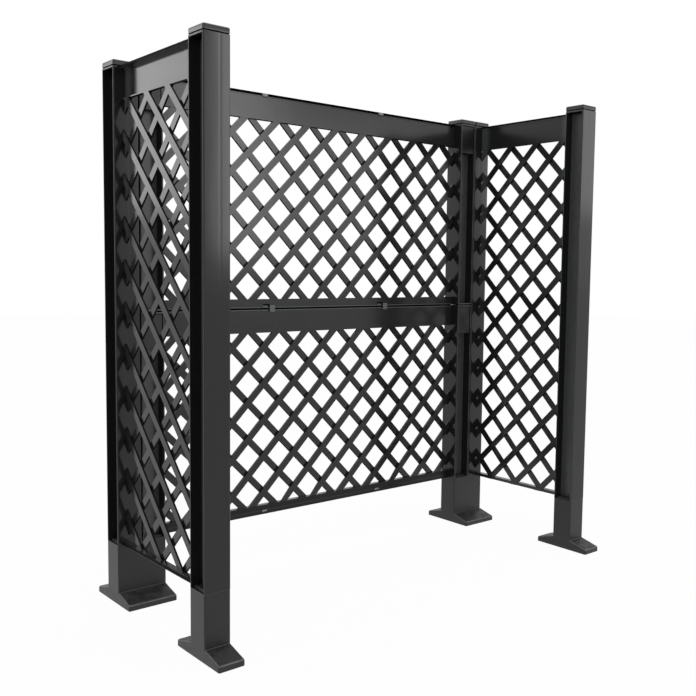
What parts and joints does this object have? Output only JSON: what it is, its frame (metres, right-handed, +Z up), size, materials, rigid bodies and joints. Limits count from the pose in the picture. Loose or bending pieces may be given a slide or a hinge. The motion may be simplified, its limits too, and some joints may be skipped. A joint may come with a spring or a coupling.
{
  "type": "wheelie bin store",
  "caption": "Free-standing dark grey lattice screen, open at the front, that stands on spreading feet and hides two wheelie bins.",
  "frame": {"origin": "on the ground, at the middle of the bounding box's underside", "axes": "+Z up, +Y from the open front towards the back panels, +X to the right for someone who faces the open front"},
  "size_m": [1.38, 0.64, 1.4],
  "materials": {
    "post_plastic": "satin to gloss, dark grey, extruded",
    "cap_plastic": "satin, dark grey, moulded",
    "foot_plastic": "fine matt grain, dark grey, moulded",
    "panel_plastic": "satin to gloss, dark grey, moulded",
    "connector_plastic": "satin, dark grey, moulded",
    "clip_plastic": "satin, grey, moulded"
  },
  "bodies": {
    "root": {"front_left_post": "post_plastic", "front_right_post": "post_plastic", "rear_left_side_post": "post_plastic", "rear_right_side_post": "post_plastic", "rear_left_back_post_upper": "post_plastic", "rear_left_back_post_lower": "post_plastic", "rear_right_back_post_upper": "post_plastic", "rear_right_back_post_lower": "post_plastic", "front_left_cap": "cap_plastic", "front_right_cap": "cap_plastic", "rear_left_side_cap": "cap_plastic", "rear_right_side_cap": "cap_plastic", "rear_left_back_cap": "cap_plastic", "rear_right_back_cap": "cap_plastic", "front_left_foot": "foot_plastic", "front_right_foot": "foot_plastic", "rear_left_foot": "foot_plastic", "rear_right_foot": "foot_plastic", "left_panel": "panel_plastic", "right_panel": "panel_plastic", "back_upper_panel": "panel_plastic", "back_lower_panel": "panel_plastic", "rear_left_upper_connector": "connector_plastic", "rear_left_lower_connector": "connector_plastic", "rear_right_upper_connector": "connector_plastic", "rear_right_lower_connector": "connector_plastic", "left_panel_clip": "clip_plastic", "right_panel_clip": "clip_plastic"}
  },
  "joints": []
}
